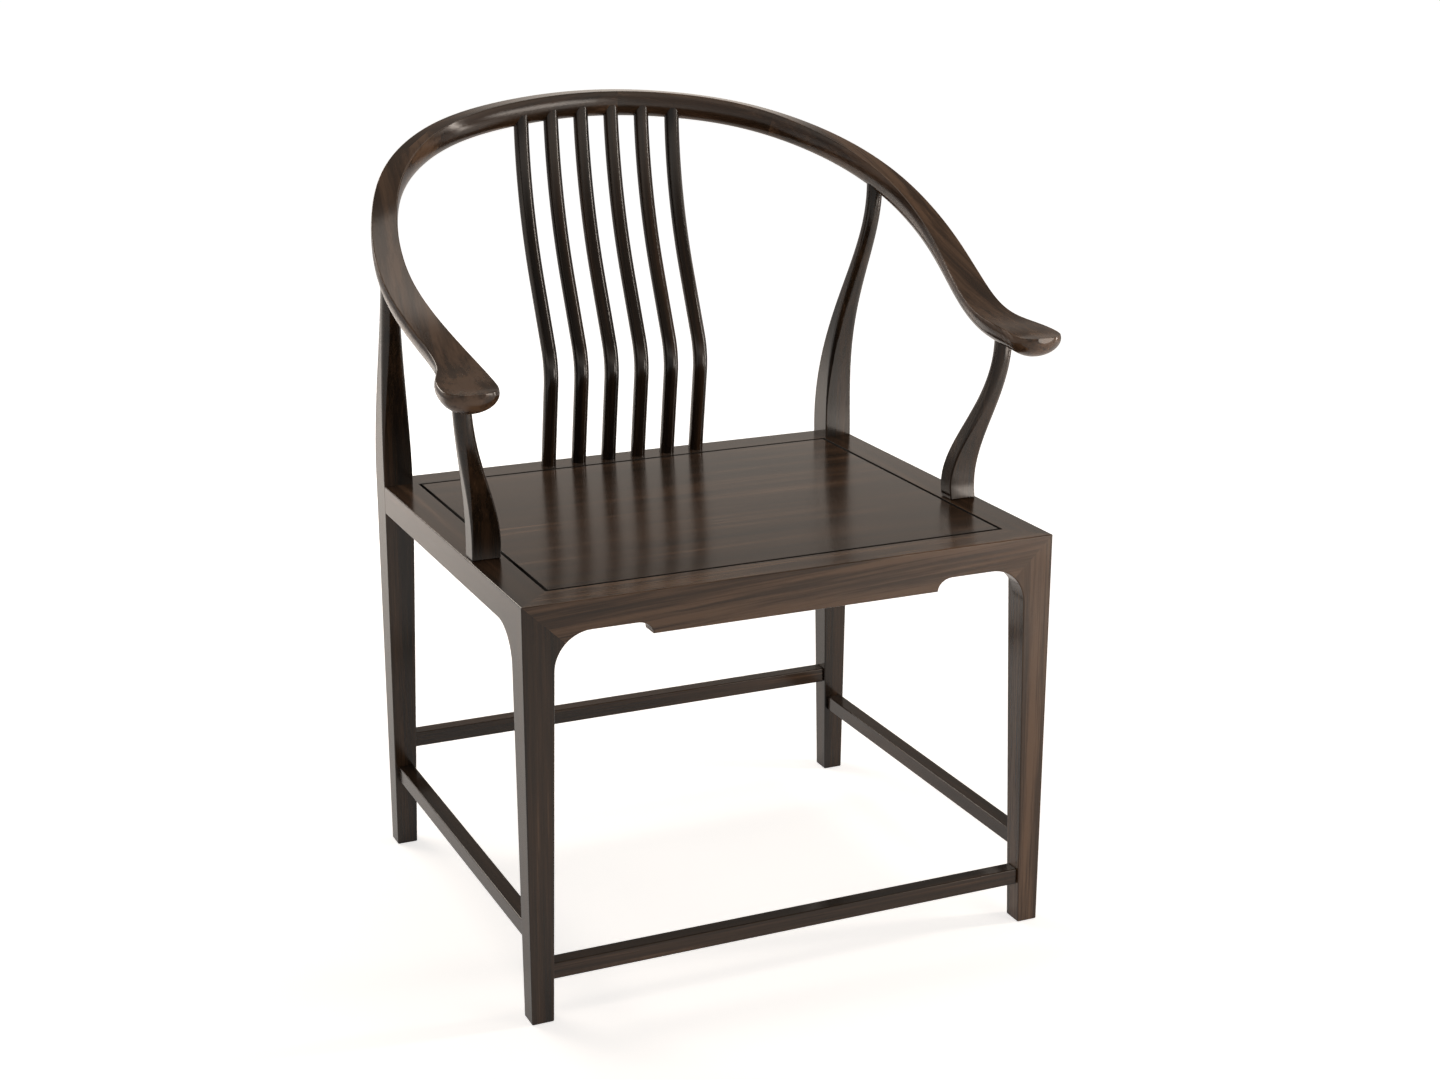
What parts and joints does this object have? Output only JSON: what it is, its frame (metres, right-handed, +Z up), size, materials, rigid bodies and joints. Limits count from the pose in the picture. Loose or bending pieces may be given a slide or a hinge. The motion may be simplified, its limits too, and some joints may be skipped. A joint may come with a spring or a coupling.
{
  "type": "horseshoe back armchair",
  "caption": "Dark wooden armchair with a horseshoe crest rail that is back and arms in one, slender bent spindles, a framed panel seat and square tapered legs with low stretchers.",
  "frame": {"origin": "on the floor, under the middle of the whole chair's outline", "axes": "+Z up; -Y the way the sitter faces; +X to the right as seen from the front"},
  "size_m": [0.6958, 0.581, 0.879],
  "materials": {
    "dark_stained_hardwood": "satin"
  },
  "bodies": {
    "root": {"front_left_leg": "dark_stained_hardwood", "front_right_leg": "dark_stained_hardwood", "rear_left_leg": "dark_stained_hardwood", "rear_right_leg": "dark_stained_hardwood", "front_seat_rail": "dark_stained_hardwood", "rear_seat_rail": "dark_stained_hardwood", "left_seat_rail": "dark_stained_hardwood", "right_seat_rail": "dark_stained_hardwood", "seat_panel": "dark_stained_hardwood", "panel_batten_1": "dark_stained_hardwood", "panel_batten_2": "dark_stained_hardwood", "front_stretcher": "dark_stained_hardwood", "rear_stretcher": "dark_stained_hardwood", "left_stretcher": "dark_stained_hardwood", "right_stretcher": "dark_stained_hardwood", "left_arm_post": "dark_stained_hardwood", "right_arm_post": "dark_stained_hardwood", "spindle_1": "dark_stained_hardwood", "spindle_2": "dark_stained_hardwood", "spindle_3": "dark_stained_hardwood", "spindle_4": "dark_stained_hardwood", "spindle_5": "dark_stained_hardwood", "spindle_6": "dark_stained_hardwood", "crest_rail_left_arm": "dark_stained_hardwood", "crest_rail_left_back": "dark_stained_hardwood", "crest_rail_right_back": "dark_stained_hardwood", "crest_rail_right_arm": "dark_stained_hardwood", "left_scarf_pin": "dark_stained_hardwood", "centre_scarf_pin": "dark_stained_hardwood", "right_scarf_pin": "dark_stained_hardwood"}
  },
  "joints": []
}
